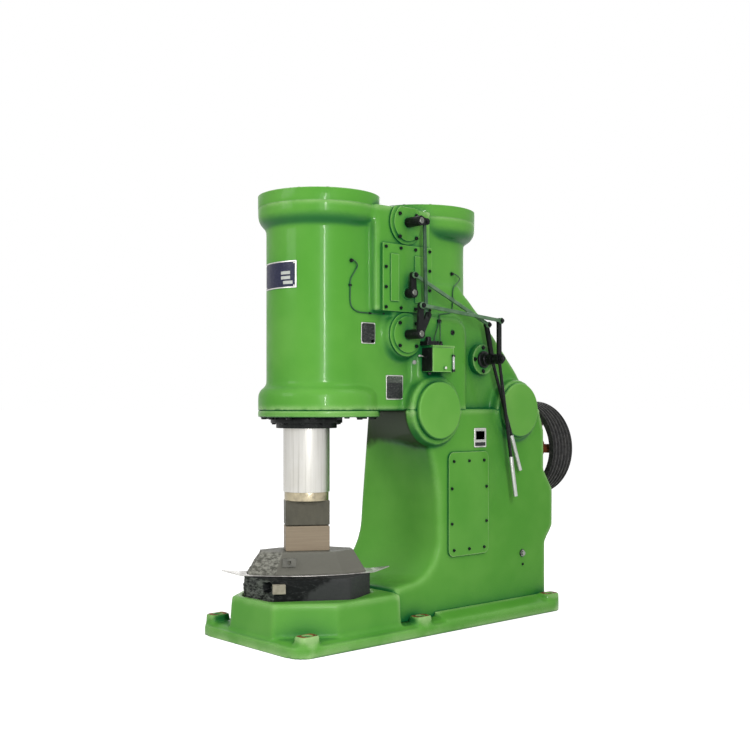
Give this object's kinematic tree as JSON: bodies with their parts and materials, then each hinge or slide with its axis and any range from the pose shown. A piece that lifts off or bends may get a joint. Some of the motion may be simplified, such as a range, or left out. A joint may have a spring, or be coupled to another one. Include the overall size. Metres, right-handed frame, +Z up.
{
  "type": "pneumatic forging hammer",
  "caption": "C-frame pneumatic forging hammer: ram over a free-standing anvil, compressor cylinder behind, rotary valves with hand levers on one side and a belt pulley at the back.",
  "frame": {"origin": "on the floor under the ram's axis, at the middle of the anvil block's foot", "axes": "+Z up along the ram, -Y to the front, +X to the valve and lever side"},
  "size_m": [1.248, 3.142, 3.2],
  "materials": {
    "enamel": "glossy green enamel",
    "black_iron": "black",
    "anvil_steel": "rough, dark",
    "bare_steel": "bare",
    "ram_steel": "ground and polished",
    "ring_brass": "dull",
    "die_steel": "tempered, brown",
    "pulley_iron": "red oxide with a worn black rim"
  },
  "bodies": {
    "frame": {"base_casting": "enamel", "column_casting": "enamel", "cylinder_block": "enamel", "working_cylinder_head": "enamel", "compressor_cylinder_head": "enamel", "lower_cylinder_cover": "enamel", "ram_gland": "black_iron", "valve_chest_cover": "enamel", "upper_valve_flange": "enamel", "lower_valve_flange": "enamel", "crank_bearing_cover": "enamel", "gear_bearing_cover": "enamel", "inspection_cover": "enamel", "far_inspection_cover": "enamel", "lubricator_tank": "enamel", "lubricator_lid": "enamel", "lever_bracket": "enamel", "rear_bearing_housing": "enamel", "anvil_block": "anvil_steel", "anvil_wedge": "bare_steel", "scale_tray": "bare_steel", "sow_block": "anvil_steel", "sow_key": "bare_steel", "lower_die": "die_steel"},
    "ram_body": {"ram": "ram_steel", "ram_end_ring": "ring_brass", "upper_die": "die_steel"},
    "lever_a_body": {"lever_a": "black_iron", "lever_a_grip": "bare_steel"},
    "rod_a_body": {"rod_a": "black_iron"},
    "lower_crank_body": {"lower_valve_crank": "black_iron"},
    "link_body": {"valve_link": "black_iron"},
    "upper_crank_body": {"upper_valve_crank": "black_iron"},
    "lever_b_body": {"lever_b": "black_iron", "lever_b_grip": "bare_steel"},
    "rod_b_body": {"rod_b": "black_iron"},
    "middle_crank_body": {"middle_valve_crank": "black_iron"},
    "pulley_body": {"pulley": "pulley_iron", "pulley_shaft": "bare_steel"}
  },
  "joints": [
    {"name": "ram_slide", "type": "slide", "parent": "frame", "child": "ram_body", "axis": [0, 0, 1], "range_m": [0, 0.5]},
    {"name": "lever_a_turn", "type": "hinge", "parent": "frame", "child": "lever_a_body", "pos_m": [0.603, 1.418, 2.038], "axis": [1, 0, 0], "range_deg": [-10, 10]},
    {"name": "rod_a_turn", "type": "hinge", "parent": "lever_a_body", "child": "rod_a_body", "pos_m": [0.625, 1.417, 2.331], "axis": [1, 0, 0], "range_deg": [-12, 12]},
    {"name": "lower_crank_turn", "type": "hinge", "parent": "frame", "child": "lower_crank_body", "pos_m": [0.603, 0.566, 2.19539], "axis": [1, 0, 0], "range_deg": [-16, 16]},
    {"name": "link_turn", "type": "hinge", "parent": "lower_crank_body", "child": "link_body", "pos_m": [0.581, 0.65, 2.33539], "axis": [1, 0, 0], "range_deg": [-18, 18]},
    {"name": "upper_crank_turn", "type": "hinge", "parent": "frame", "child": "upper_crank_body", "pos_m": [0.603, 0.566, 3.012], "axis": [1, 0, 0], "range_deg": [-20, 20]},
    {"name": "lever_b_turn", "type": "hinge", "parent": "frame", "child": "lever_b_body", "pos_m": [0.53, 1.418, 2.038], "axis": [1, 0, 0], "range_deg": [-10, 10]},
    {"name": "rod_b_turn", "type": "hinge", "parent": "lever_b_body", "child": "rod_b_body", "pos_m": [0.552, 1.354, 2.301], "axis": [1, 0, 0], "range_deg": [-12, 12]},
    {"name": "middle_crank_turn", "type": "hinge", "parent": "frame", "child": "middle_crank_body", "pos_m": [0.53, 0.566, 2.49669], "axis": [1, 0, 0], "range_deg": [-20, 20]},
    {"name": "pulley_spin", "type": "hinge", "parent": "frame", "child": "pulley_body", "pos_m": [0, 2.4, 1.308], "axis": [0, 1, 0], "continuous": true}
  ],
  "couplings": [
    {"joint": "rod_a_turn", "follows": "lever_a_turn", "ratio": -1.0113},
    {"joint": "lower_crank_turn", "follows": "lever_a_turn", "ratio": 1.4325},
    {"joint": "link_turn", "follows": "lever_a_turn", "ratio": -1.7232},
    {"joint": "upper_crank_turn", "follows": "lever_a_turn", "ratio": 1.9269},
    {"joint": "rod_b_turn", "follows": "lever_b_turn", "ratio": -1.0812},
    {"joint": "middle_crank_turn", "follows": "lever_b_turn", "ratio": 1.864}
  ]
}
